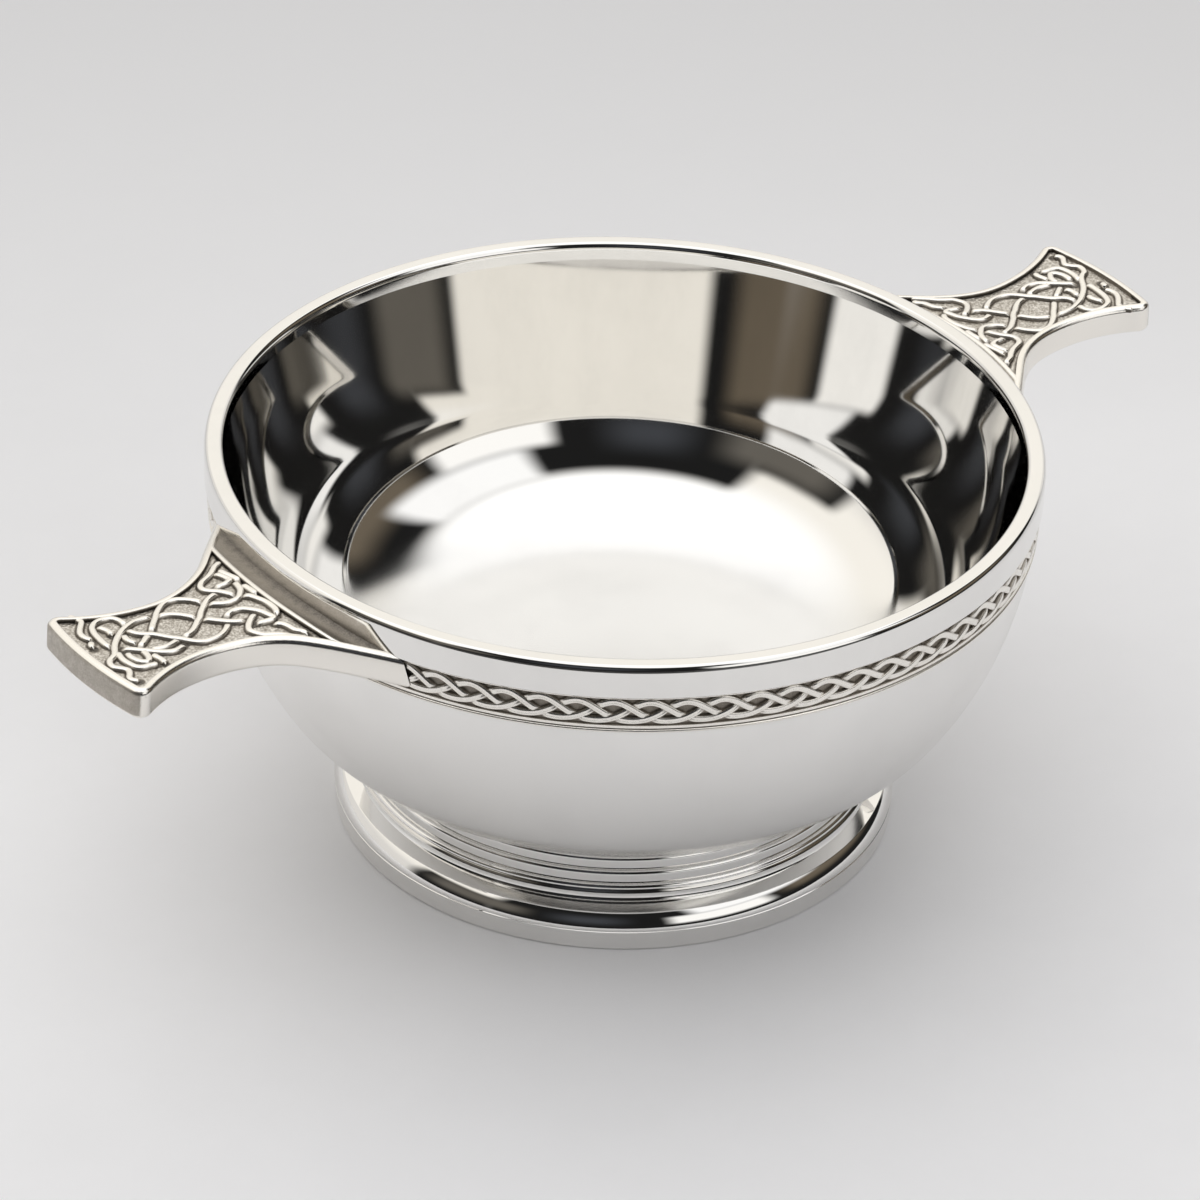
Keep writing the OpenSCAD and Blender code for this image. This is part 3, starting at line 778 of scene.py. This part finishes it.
# Strands of the traced knot: points of the run, and the places where it dives under another
KNOT = [
    # Hook from the upper root corner
    ([(4.2, 10.9), (5, 10), (5.8, 9.2), (6.5, 8.4), (7.3, 7.8), (8.1, 7.3), (8.7, 6.6), (9, 5.8), (8.7, 5),
      (8.1, 4.3), (7.4, 3.7), (6.7, 3.1), (6.2, 2.6)],
     [(6.1, 2.5)]),
    # Leaf in the upper root corner
    ([(3.9, 10.1), (3.9, 9.2), (4.5, 8.4), (4.7, 7.4), (4.9, 6.6), (5.5, 6), (5.7, 5.5)],
     [(5.7, 5.3)]),
    # Upper cup at the root
    ([(7.7, 4.7), (6.6, 4.95), (5.5, 5.1), (5, 4.8), (5.15, 3.9), (5.5, 2.9), (6.1, 2), (6.9, 1.3),
      (7.8, 1.05), (8.7, 1.2), (9.4, 1.6), (9.9, 2)],
     [(7.9, 4.6), (10, 2.1)]),
    # Strand from under the upper hook through the foot of the heart to the end, and up to its corner
    ([(7.6, 3.5), (8.5, 3.4), (9.4, 3.05), (10.2, 2.4), (11, 1.7), (11.7, 1), (12.4, 0.3), (13, -0.5),
      (13.6, -1.3), (14.4, -2), (15.3, -2.5), (16.2, -2.7), (17.3, -3), (18.4, -3.1), (19.5, -3),
      (20.6, -2.6), (21.6, -2.1), (22.5, -1.4), (23.4, -0.6), (24.1, 0.2), (24.7, 1), (25.2, 1.7),
      (25.7, 2.1), (26.4, 2.5), (26.8, 3.2), (26.8, 4), (26.2, 4.7), (25.8, 5.4), (26.1, 6.1), (26.6, 6.8),
      (26.5, 7.5), (25.9, 7.9)],
     [(7.6, 3.6), (12.4, 0.3), (16.6, -2.75)]),
    # Strand from the lower root scroll over the heart of the knot
    ([(6.9, -3.1), (8, -3), (9, -2.65), (9.9, -2.05), (10.7, -1.4), (11.5, -0.65), (12.4, 0.3), (13.2, 1),
      (14, 1.7), (15, 2.35), (16, 2.6), (17, 2.8), (18, 3.2), (19.2, 3.4), (20.4, 3.2), (21.3, 2.9)],
     [(7, -3.1), (16.8, 2.75), (21.5, 2.8)]),
    # Strand over the top of the heart to the lower scroll of the end
    ([(10.1, 2.7), (10.8, 3.6), (11.6, 4.25), (12.6, 4.75), (13.7, 4.95), (14.7, 4.85), (15.5, 4.4),
      (16.2, 3.7), (16.9, 2.8), (17.6, 2), (18.3, 1.1), (19, 0.3), (19.8, -0.2), (20.5, -0.9), (20.8, -1.8),
      (20.65, -2.7), (20.4, -3.6), (20.6, -4.5), (21.2, -5.2), (22.2, -5.4), (23.2, -5.25), (24, -4.6),
      (24.5, -3.6), (24.7, -2.5), (24.8, -1.4), (24.8, -0.4), (24.5, 0.5)],
     [(10, 2.6), (20.7, -2.5), (24.6, 0.6)]),
    # Strand from the lower root arch round the foot of the heart to a loop near the end
    ([(4.2, -4.6), (4.3, -3.6), (4.6, -2.5), (5.2, -1.6), (6, -1), (7, -0.75), (8, -0.9), (8.9, -1.35),
      (9.7, -1.9), (10.2, -2.7), (10.8, -3.5), (11.6, -4.2), (12.5, -4.6), (13.5, -4.7), (14.5, -4.4),
      (15.4, -3.8), (16.2, -3.05), (17, -2.2), (17.8, -1.3), (18.6, -0.4), (19.3, 0.1), (20.1, 0.7),
      (20.9, 1.3), (21.6, 1.8), (22, 2.5), (22, 3.4), (22.2, 4.3), (22.8, 4.95), (23.4, 4.7), (23.8, 3.9),
      (23.9, 2.9), (23.6, 1.9)],
     [(4.2, -4.6), (9.9, -2.1), (19.1, -0.05), (22, 2.2), (23.6, 1.7)]),
    # Strand under the upper border, down to the end
    ([(17, 4), (17.8, 4.5), (18.7, 4.7), (19.6, 4.5), (20.4, 4), (21.2, 3.3), (22, 2.6), (22.8, 1.9),
      (23.5, 1.3), (23.9, 0.8)],
     [(16.9, 3.9), (23.9, 0.8)]),
    # Upper scroll of the end
    ([(24.5, 1), (24.8, 2), (24.95, 3.1), (24.9, 4.2), (24.6, 5.2), (23.9, 5.8), (22.9, 5.9), (22, 6.1)],
     [(24.4, 0.9)]),
    # Leaf under the upper border
    ([(21.3, 6.5), (21.25, 5.6), (21.4, 4.7), (21.5, 4)],
     []),
    # Strand down the root to the lower hook and corner
    ([(4.3, 4.5), (3.8, 3.6), (3.65, 2.5), (3.7, 1.4), (4, 0.4), (4.5, -0.5), (5.2, -1.2), (6, -1.9),
      (6.5, -2.8), (7.2, -3.5), (7.9, -4), (8.3, -4.7), (8.2, -5.5), (7.6, -6.1), (6.7, -6.6), (5.8, -7),
      (5, -7.6), (4.3, -8.2), (3.5, -8.6), (2.9, -9.2)],
     [(5.5, -1.5), (2.8, -9.4)]),
    # Lower cup at the root
    ([(7.2, -4.2), (6.2, -4.4), (5.2, -4.5), (4.5, -4.9), (4.6, -5.8), (4.95, -6.6), (5.3, -7.3)],
     [(7.4, -4.1), (5.4, -7.4)]),
    # Leaves along the lower root
    ([(3.6, -0.5), (3.6, -1.6), (3.8, -2.7), (3.9, -3.6), (3.6, -4.6), (3.8, -5.6), (4.1, -6.5), (4.3, -7.4)],
     [(4, -3.7)]),
    # Leaves along the end
    ([(25.6, -2.2), (26, -3.1), (25.95, -4.1), (25.5, -5), (24.9, -5.7), (24.4, -6.4), (24.6, -7.4),
      (25.2, -8.2)],
     []),
    ([(26.4, -0.7), (26.3, -1.5), (25.8, -1.9)],
     []),
    ([(23, -1.9), (22.95, -2.8), (23.2, -3.7), (23.6, -4.6)],
     [(23.7, -4.8)]),
    ([(21.5, 1.3), (22, 0.4), (22.1, -0.5), (21.8, -1.4)],
     [(21.4, 1.6), (21.7, -1.8)]),
]


def beyond(end, beside):
    """The point as far past the end of a run as its neighbour lies before it."""
    return tuple(2 * a - b for a, b in zip(end, beside))


def between(a, b, c, d, t):
    """A value at a share t of the way from b to c, on a smooth curve that comes from a and goes on to d."""
    square = 2 * a - 5 * b + 4 * c - d
    cube = 3 * b - a - 3 * c + d
    return 0.5 * (2 * b + (c - a) * t + square * t ** 2 + cube * t ** 3)


def smooth_path(points, step):
    """Even points along a curve through the given ones."""
    line = [beyond(points[0], points[1]), *points, beyond(points[-1], points[-2])]
    path = []
    for p0, p1, p2, p3 in zip(line, line[1:], line[2:], line[3:]):
        count = max(2, round(math.dist(p1, p2) / step))
        for i in range(count):
            path.append(tuple(between(*values, i / count) for values in zip(p0, p1, p2, p3)))
    return path + [tuple(points[-1])]


class QUAICH_OT_handles(Operator):
    """Cast lug handles with a rounded border, a hollow strip at the root and a knot in a stippled field"""
    bl_idname = "quaich.handles"
    bl_label = "Handles"

    def execute(self, context):
        plan = HandlePlan(context.scene.quaich_handle)
        knot = [[[plan.on_top(point) for point in points] for points in strand] for strand in KNOT]
        paths = [smooth_path(points, KNOT_STEP) for points, _ in knot]
        parts = [self.shell(plan), self.underside(plan), self.field(plan, paths)]
        parts += [self.strand(plan, path, dives) for path, (_, dives) in zip(paths, knot)]
        right = join(parts)
        right.name = "quaich_handle_right"
        left = right.copy()
        left.data = right.data.copy()
        left.name = "quaich_handle_left"
        context.collection.objects.link(left)
        left.data.transform(Matrix.Rotation(math.pi, 4, "Z"))
        materials = [pewter("cast_pewter", context.scene.quaich_finish)]
        for piece, node in ((right, "handle_right"), (left, "handle_left")):
            finish_piece(piece, node, materials, sharp=40)
        return {"FINISHED"}

    def shell(self, plan):
        """The plate up to the edge of its sunk field, ring by ring from the underside.

        A ring has an inset, height and polish along the sides and the end, and three more along the root.
        """
        e, t = plan.edge, plan.thickness
        below_collar = RIM_LOW.z / MM - plan.top - plan.arch
        rings = [(plan.corner_round + 0.02, -t, 0.8, -plan.seat, -t, 0.2)]
        for x, z in arc(e, -t + e, e, e, 270, 180, 6) + arc(e, -e, e, e, 180, 90, 10):
            root = -plan.seat if z < below_collar else plan.seat
            rings.append((x, z, 0.9 if z < -e else 1, root, z, 0.2))
        strip, border, field = plan.root_strip, plan.border, plan.field
        hollow = [
            (0.25, -0.16, 0.2), (0.55, -0.3, 0.24), (0.85, -0.39, 0.28), (1.15, -0.45, 0.32),
            (1.45, -0.47, 0.35), (1.75, -0.45, 0.37), (2.05, -0.39, 0.4), (2.35, -0.3, 0.42),
            (2.6, -0.17, 0.45), (strip - 0.6, -0.04, 0.8), (strip - 0.5, 0, 1),
        ]
        rings += [(e + 0.01 * i, 0, 1, *root) for i, root in enumerate(hollow, 2)]
        rings += [
            (border - 0.2, -0.01, 1, strip - 0.2, 0, 1),
            (border - 0.1, -0.06, 0.8, strip - 0.1, -0.06, 0.7),
            (border - 0.05, -0.2, 0.2, strip - 0.05, -0.2, 0.2),
            (border, -field - 0.05, 0, strip, -field - 0.05, 0),
        ]
        outlines = [plan.ring(inset, root_inset) for inset, _, _, root_inset, _, _ in rings]
        columns = len(outlines[0]) - 1
        rows = len(rings) - 1

        def place(u, v):
            row = round(v * rows)
            x, y, root = outlines[row][round(u * columns)]
            _, side_z, side_polish, _, root_z, root_polish = rings[row]
            z = side_z + (root_z - side_z) * root
            worn = side_polish + (root_polish - side_polish) * root
            if not root and -plan.thickness + 0.5 * e < z < -0.4 * e and x > plan.corner_at - 0.4:
                worn = 0.5
            return *plan.to_world(x, y, z), worn

        shell = shape_sheet("shell", columns, rows, place)
        bpy.ops.object.mode_set(mode="EDIT")
        close_mesh()
        return shell

    def underside(self, plan):
        """The plain underside."""
        at = plan.spread(plan.corner_round, -plan.seat)

        def place(u, v):
            return *plan.to_world(*at(u, 1 - v), -plan.thickness), 0.8

        return shape_sheet("underside", 60, 40, place)

    def field(self, plan, paths):
        """The sunk ground, stippled, and darkened along the strands and under the border by oxide and painted
        shade.
        """
        at = plan.spread(plan.border - 0.03, plan.root_strip - 0.03)
        strands = point_tree([point for path in paths for point in path])
        edges = point_tree([(x, y) for x, y, _ in plan.ring(plan.border, plan.root_strip)])

        def place(u, v):
            point = at(u, v)
            near = strands.find((*point, 0))[2] - plan.strand / 2
            edge = edges.find((*point, 0))[2]
            coarse = noise.noise((point.x * 4.2, point.y * 4.2, 3.7))
            fine = noise.noise((point.x * 9, point.y * 9, 8.1))
            stipple = coarse + 0.6 * fine
            z = -plan.field + 0.045 * stipple
            worn = 0.56 + 0.24 * stipple
            # Oxide and painted shade: the ground darkens where it meets the strands and the border
            worn *= 0.3 + 0.7 * smooth(0, 0.24, near)
            worn *= 0.3 + 0.7 * smooth(0.05, 0.3, edge)
            return *plan.to_world(point.x, point.y, z), worn

        return shape_sheet("field", 250, 170, place)

    def strand(self, plan, path, dives):
        """One strand of the knot, half round, that dips where it passes under another."""
        rows = len(path) - 1

        def place(u, v):
            i = round(u * rows)
            (x0, y0), (x1, y1) = path[max(i - 1, 0)], path[min(i + 1, rows)]
            run = math.hypot(x1 - x0, y1 - y0)
            x, y = path[i]
            t = 2 * v - 1
            ending = min(i, rows - i) * KNOT_STEP / (plan.strand / 2)
            full = math.sqrt(1 - (1 - min(ending, 1)) ** 2)
            away = min([math.dist((x, y), under) for under in dives], default=math.inf)
            dive = 1 - smooth(0.25, 1.0, away)
            offset = t * plan.strand / 2 * max(full, 0.02)
            crown = (1 - abs(t) ** 3) ** 0.6
            z = -plan.field - 0.07 + (plan.relief + 0.07) * crown * (0.25 + 0.75 * full) - 0.36 * dive
            # Oxide and painted shade: the strand darkens toward its edges and where it dives under another
            worn = (1 - smooth(0.62, 1, abs(t))) * (1 - 0.75 * dive)
            x -= (y1 - y0) / run * offset
            y += (x1 - x0) / run * offset
            return *plan.to_world(x, y, z), 0.16 + 0.78 * worn

        return shape_sheet("strand", rows, 10, place)


def point_tree(points):
    """A tree for finding the nearest of many points of the plan."""
    tree = KDTree(len(points))
    for i, (x, y) in enumerate(points):
        tree.insert((x, y, 0), i)
    tree.balance()
    return tree


# Colours of the studio from its walls up to its ceiling
WALL = (0.72, 0.70, 0.67)
UPPER_WALL = (0.93, 0.90, 0.84)
CEILING = (1.12, 1.12, 1.12)

# Panels on the camera's side: turns from the camera to the right, heights and softness in degrees, and colour
PANELS = [
    # Dark screens
    ((-81, -45), (-14, 33), 4, (0.012, 0.012, 0.012)),
    ((-48, 136), (-14, 52), 5, (0.012, 0.012, 0.012)),
    # Dim places on the screens
    ((-73, -34), (10, 31), 8, (0.125, 0.115, 0.10)),
    ((-20, 4), (12, 34), 10, (0.05, 0.053, 0.06)),
    ((74, 120), (14, 34), 8, (0.14, 0.115, 0.085)),
    # Bright panels
    ((24, 65), (8, 30), 4, (1.0, 0.99, 0.97)),
    ((35, 93), (30, 54), 5, (1.0, 1.0, 1.0)),
]


def studio_light(stage):
    """The studio by direction: pale walls, a bright ceiling, dark and bright panels on the camera's side."""
    world = bpy.data.worlds.new("studio")
    bpy.context.scene.world = world
    world.use_nodes = True
    nodes = Nodes(world.node_tree)
    way = nodes.add("ShaderNodeTexCoord").outputs["Generated"]
    sin, cos = math.sin(stage.azimuth), math.cos(stage.azimuth)
    right, toward = nodes.along(way, cos, sin), nodes.along(way, sin, -cos)
    height = nodes.add("ShaderNodeSeparateXYZ", {0: way}).outputs["Z"]
    turn = nodes.math("DEGREES", nodes.math("ARCTAN2", right, toward))
    rise = nodes.math("DEGREES", nodes.math("ARCSINE", height))

    def within(value, limits, soft):
        """1 between two limits and 0 outside, with soft edges."""
        low, high = limits
        above = nodes.span(value, low - soft, low + soft)
        below = nodes.span(value, high + soft, high - soft)
        return nodes.math("MULTIPLY", above, below)

    tone = nodes.mix(nodes.span(rise, 12, 30), opaque(WALL), opaque(UPPER_WALL))
    tone = nodes.mix(nodes.span(rise, 38, 58), tone, opaque(CEILING))
    for turns, heights, soft, panel in PANELS:
        share = nodes.math("MULTIPLY", within(turn, turns, soft), within(rise, heights, soft))
        tone = nodes.mix(share, tone, opaque(panel))
    seen = nodes.add("ShaderNodeLightPath").outputs["Is Camera Ray"]
    tone = nodes.mix(seen, tone, opaque(stage.backdrop))
    light = nodes.add("ShaderNodeBackground", {"Color": tone, "Strength": stage.light})
    nodes.show("ShaderNodeOutputWorld", light)


class QUAICH_OT_stage(Operator):
    """Pale floor, soft studio and the camera at the viewing angle"""
    bl_idname = "quaich.stage"
    bl_label = "Stage"

    def execute(self, context):
        stage = context.scene.quaich_stage
        deselect()
        bpy.ops.mesh.primitive_circle_add(vertices=96, radius=stage.floor_radius, fill_type="NGON")
        floor = context.object
        floor.name = "floor"
        floor.data.materials.append(self.floor_material(stage))
        studio_light(stage)
        a, e, r = stage.azimuth, stage.elevation, stage.roll
        ahead = Vector((-math.sin(a) * math.cos(e), math.cos(a) * math.cos(e), -math.sin(e)))
        level = Vector((math.cos(a), math.sin(a), 0))
        above = level.cross(ahead)
        right = math.cos(r) * level + math.sin(r) * above
        down = math.sin(r) * level - math.cos(r) * above
        place = -stage.foot_right * right - stage.foot_down * down - stage.distance * ahead
        turn = Matrix((right, -down, -ahead)).transposed()
        bpy.ops.object.camera_add(location=place, rotation=turn.to_euler())
        camera = context.object
        camera.data.lens = stage.lens
        camera.data.sensor_width = 36
        camera.data.clip_start = 0.05
        context.scene.camera = camera
        context.scene.view_settings.view_transform = "Standard"
        return {"FINISHED"}

    def floor_material(self, stage):
        """Pale matt board with painted shade that darkens it behind the bowl, and a painted dark reflection:
        glossy rays see its part toward the camera nearly black.
        """
        material, nodes = new_material("pale_floor")
        mottle = nodes.span(nodes.noise(scale=60, detail=5, roughness=0.6), 0.3, 0.7)
        tone = nodes.mix(mottle, opaque(stage.floor), opaque([c * 0.985 for c in stage.floor]))
        place = nodes.add("ShaderNodeTexCoord").outputs["Object"]
        toward = nodes.along(place, math.sin(stage.azimuth), -math.cos(stage.azimuth))
        # Painted shade: behind the bowl the floor fades to its darker tone
        far = opaque([c * stage.painted_far_shade for c in stage.floor])
        tone = nodes.mix(nodes.span(toward, -0.3, 0.02), far, tone)
        # Painted reflection: glossy rays see the floor toward the camera nearly black, so the metal shows a
        # dark sheet there
        mirrored = nodes.add("ShaderNodeLightPath").outputs["Is Glossy Ray"]
        dark = nodes.math("MULTIPLY", mirrored, nodes.span(toward, 0.17, 0.24))
        tone = nodes.mix(dark, tone, opaque((0.02, 0.02, 0.02)))
        shader = nodes.add("ShaderNodeBsdfPrincipled", {"Base Color": tone, "Roughness": 0.6})
        nodes.show("ShaderNodeOutputMaterial", shader)
        return material


OPERATORS = (
    QUAICH_OT_stage,
    QUAICH_OT_bowl,
    QUAICH_OT_rim,
    QUAICH_OT_foot,
    QUAICH_OT_band,
    QUAICH_OT_handles,
)
SETTINGS = {
    "quaich_bowl": QuaichBowl,
    "quaich_band": QuaichBand,
    "quaich_handle": QuaichHandle,
    "quaich_foot": QuaichFoot,
    "quaich_finish": QuaichFinish,
    "quaich_stage": QuaichStage,
}


class QUAICH_PT_sidebar(Panel):
    """Sizes, finishes and operators of the quaich"""
    bl_label = "Quaich"
    bl_space_type = "VIEW_3D"
    bl_region_type = "UI"
    bl_category = "Quaich"

    def draw(self, context):
        for operator in OPERATORS:
            self.layout.operator(operator.bl_idname)
        for key, group in SETTINGS.items():
            box = self.layout.box()
            box.label(text=group.__doc__)
            for name in group.__annotations__:
                box.prop(getattr(context.scene, key), name)


CLASSES = (*SETTINGS.values(), *OPERATORS, QUAICH_PT_sidebar)


def register():
    """Registers the settings, operators and panel."""
    for cls in CLASSES:
        bpy.utils.register_class(cls)
    for key, group in SETTINGS.items():
        setattr(bpy.types.Scene, key, PointerProperty(type=group))


def unregister():
    """Takes away what register added."""
    for key in SETTINGS:
        delattr(bpy.types.Scene, key)
    for cls in reversed(CLASSES):
        bpy.utils.unregister_class(cls)


def main():
    """Builds the quaich and its stage."""
    register()
    bpy.ops.quaich.stage()
    bpy.ops.quaich.bowl()
    bpy.ops.quaich.rim()
    bpy.ops.quaich.foot()
    bpy.ops.quaich.band()
    bpy.ops.quaich.handles()


if __name__ == "__main__":
    main()
